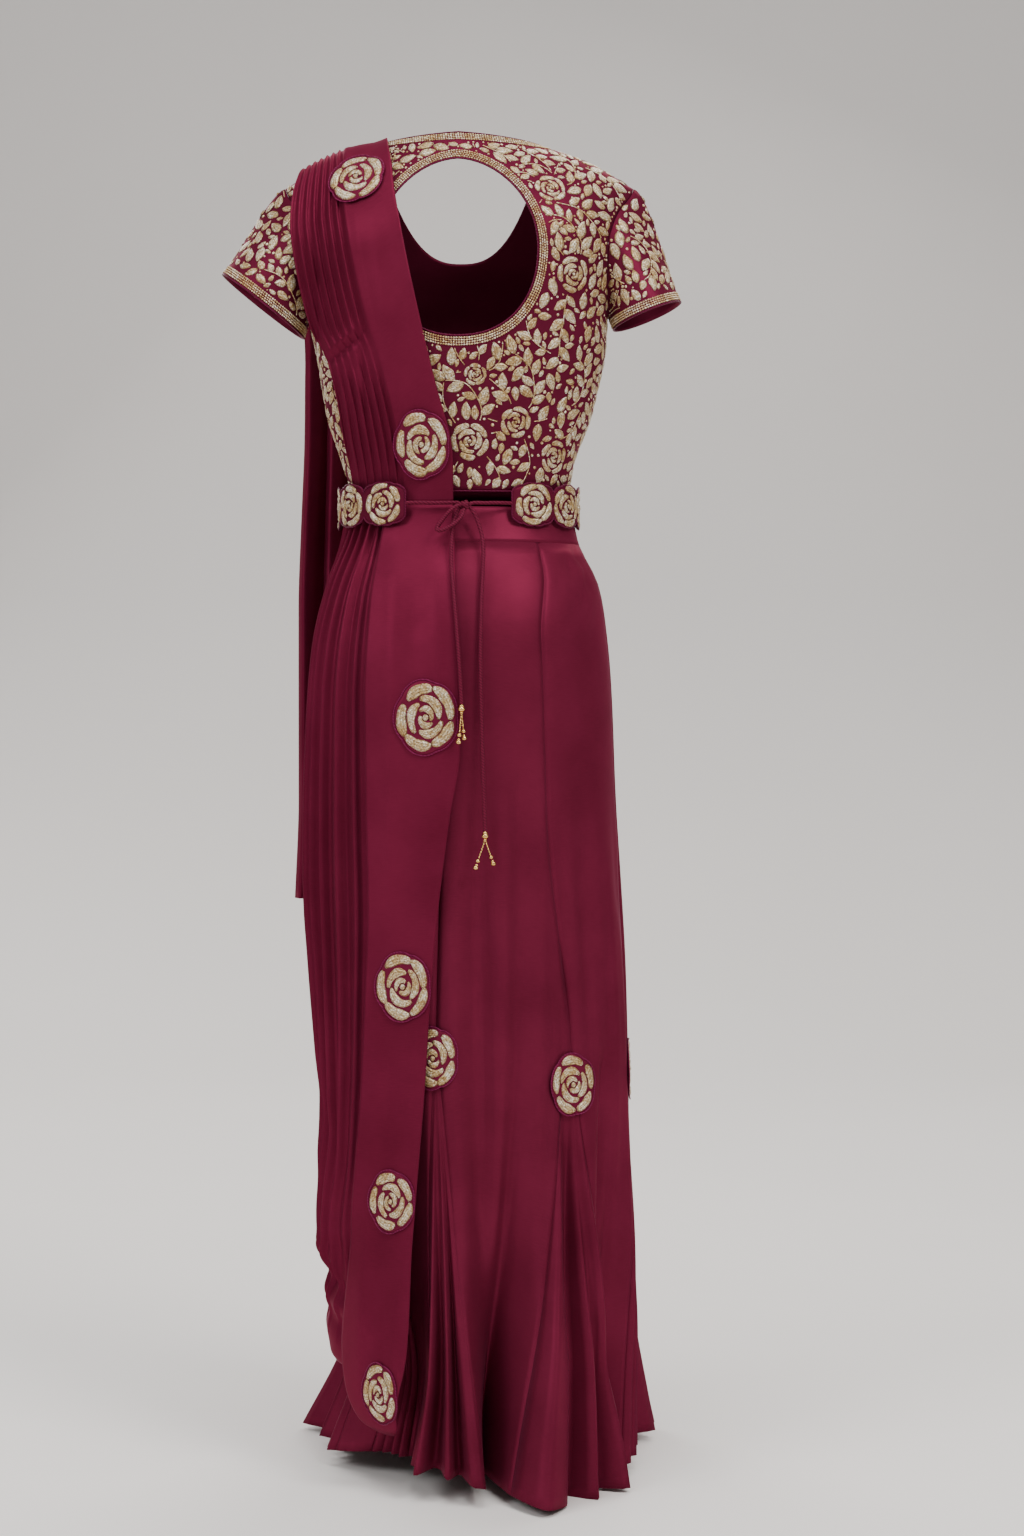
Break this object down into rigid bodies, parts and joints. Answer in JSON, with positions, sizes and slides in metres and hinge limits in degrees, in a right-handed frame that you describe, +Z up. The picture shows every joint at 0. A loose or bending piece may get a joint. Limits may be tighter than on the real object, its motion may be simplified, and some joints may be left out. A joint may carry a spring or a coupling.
{
  "type": "sari gown",
  "caption": "Ready-draped sari gown set: short blouse with a round open back, godet skirt, pleated drape over the left shoulder and a tied belt.",
  "frame": {"origin": "midway between the two shoulder seams, where a wearer holds the garment up", "axes": "+Z up, -Y towards the wearer's front, +X towards the wearer's left"},
  "size_m": [0.4877, 0.4682, 1.419],
  "materials": {
    "crepe": "smooth wine crepe with a soft sheen",
    "embroidered": "wine crepe covered in gold thread and bead embroidery",
    "gold": "raised gold bead and thread applique",
    "cord": "rolled crepe cord",
    "tassel": "polished gold beads"
  },
  "bodies": {
    "root": {"skirt_gore_1": "crepe", "skirt_gore_2": "crepe", "skirt_gore_3": "crepe", "skirt_gore_4": "crepe", "skirt_gore_5": "crepe", "skirt_gore_6": "crepe", "skirt_gore_7": "crepe", "skirt_gore_8": "crepe", "skirt_godet_1": "crepe", "skirt_godet_2": "crepe", "skirt_godet_3": "crepe", "skirt_godet_4": "crepe", "skirt_godet_5": "crepe", "skirt_godet_6": "crepe", "skirt_godet_7": "crepe", "skirt_godet_8": "crepe", "skirt_waistband": "crepe", "pallu_upper_back": "crepe", "pallu_border": "crepe", "pallu_pleats": "crepe", "pallu_side_cascade": "crepe", "pallu_front_fall": "crepe", "blouse_front": "embroidered", "blouse_back": "embroidered", "sleeve_left": "embroidered", "sleeve_right": "embroidered", "belt": "gold", "rose_shoulder": "gold", "rose_waist": "gold", "rose_hip": "gold", "rose_thigh": "gold", "rose_knee": "gold", "rose_hem": "gold", "rose_godet_1": "gold", "rose_godet_4": "gold", "rose_godet_5": "gold", "rose_godet_6": "gold", "rose_godet_7": "gold", "rose_godet_8": "gold", "tie_cord_left": "cord", "tie_cord_right": "cord", "tie_bow": "cord", "tie_knot": "cord", "tassel_left": "tassel", "tassel_right": "tassel"}
  },
  "joints": []
}
